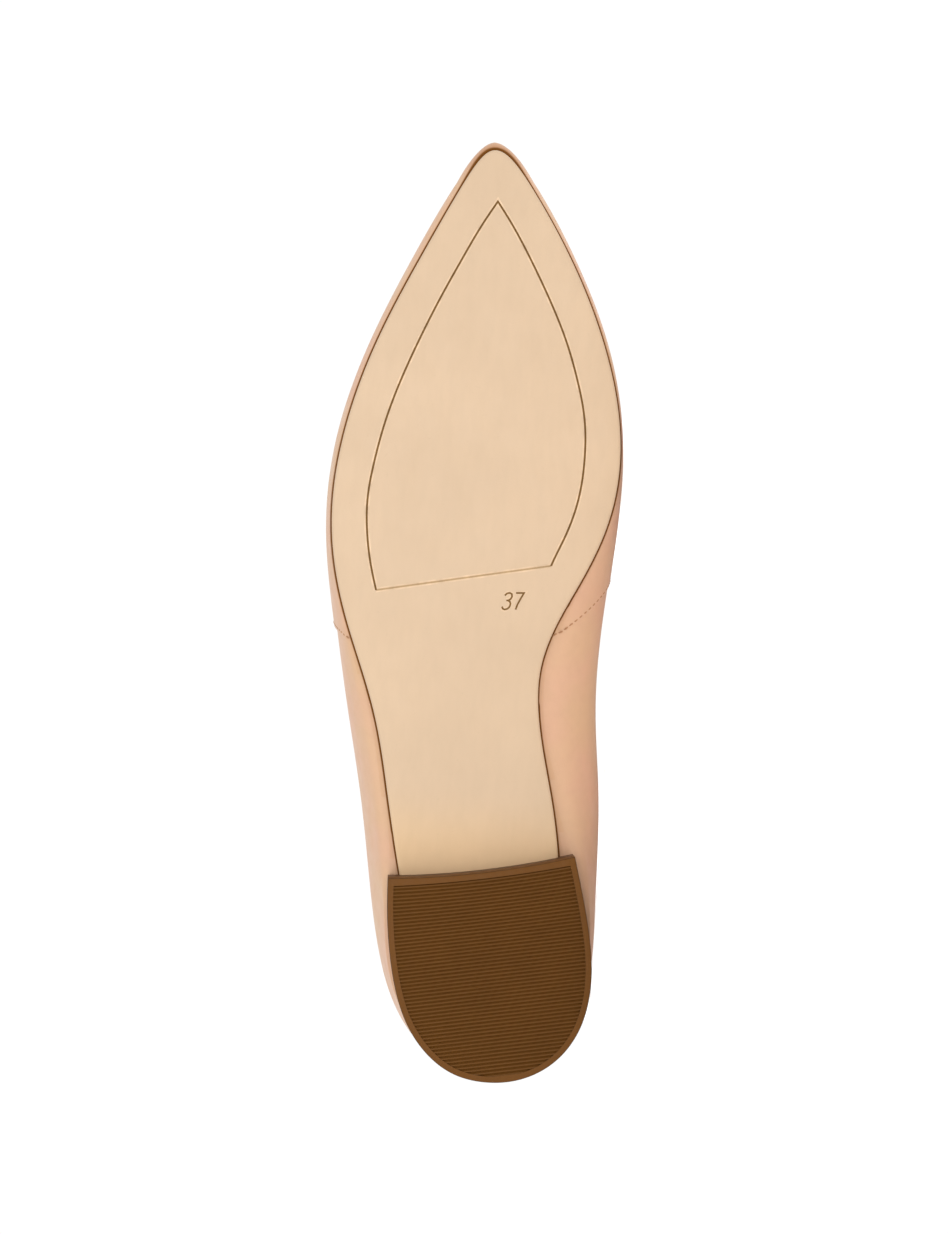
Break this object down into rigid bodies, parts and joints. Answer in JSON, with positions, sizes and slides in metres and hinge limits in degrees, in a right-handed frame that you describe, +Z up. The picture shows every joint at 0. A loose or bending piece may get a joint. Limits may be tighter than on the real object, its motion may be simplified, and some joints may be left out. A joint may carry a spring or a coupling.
{
  "type": "ballet flat",
  "caption": "Pointed ballet flat for the right foot: lasted leather upper, short leather sole with an engraved line, low heel with a rubber top lift, and insole; it lies on its inner side.",
  "frame": {"origin": "on the floor under the middle of the box round the lying shoe", "axes": "+X from the heel to the toe along the floor, +Y from the sole to the foot opening, +Z up to the shoe's outer side"},
  "size_m": [0.268, 0.071, 0.0839],
  "materials": {
    "upper_leather": "smooth nude leather, low sheen",
    "sole_leather": "smooth pale sole leather, matt",
    "heel_block": "brown, satin",
    "lift_rubber": "brown, finely ribbed, matt",
    "sock_leather": "smooth lining leather, matt"
  },
  "bodies": {
    "root": {"upper": "upper_leather", "outsole": "sole_leather", "heel": "heel_block", "top_lift": "lift_rubber", "insole": "sock_leather"}
  },
  "joints": []
}
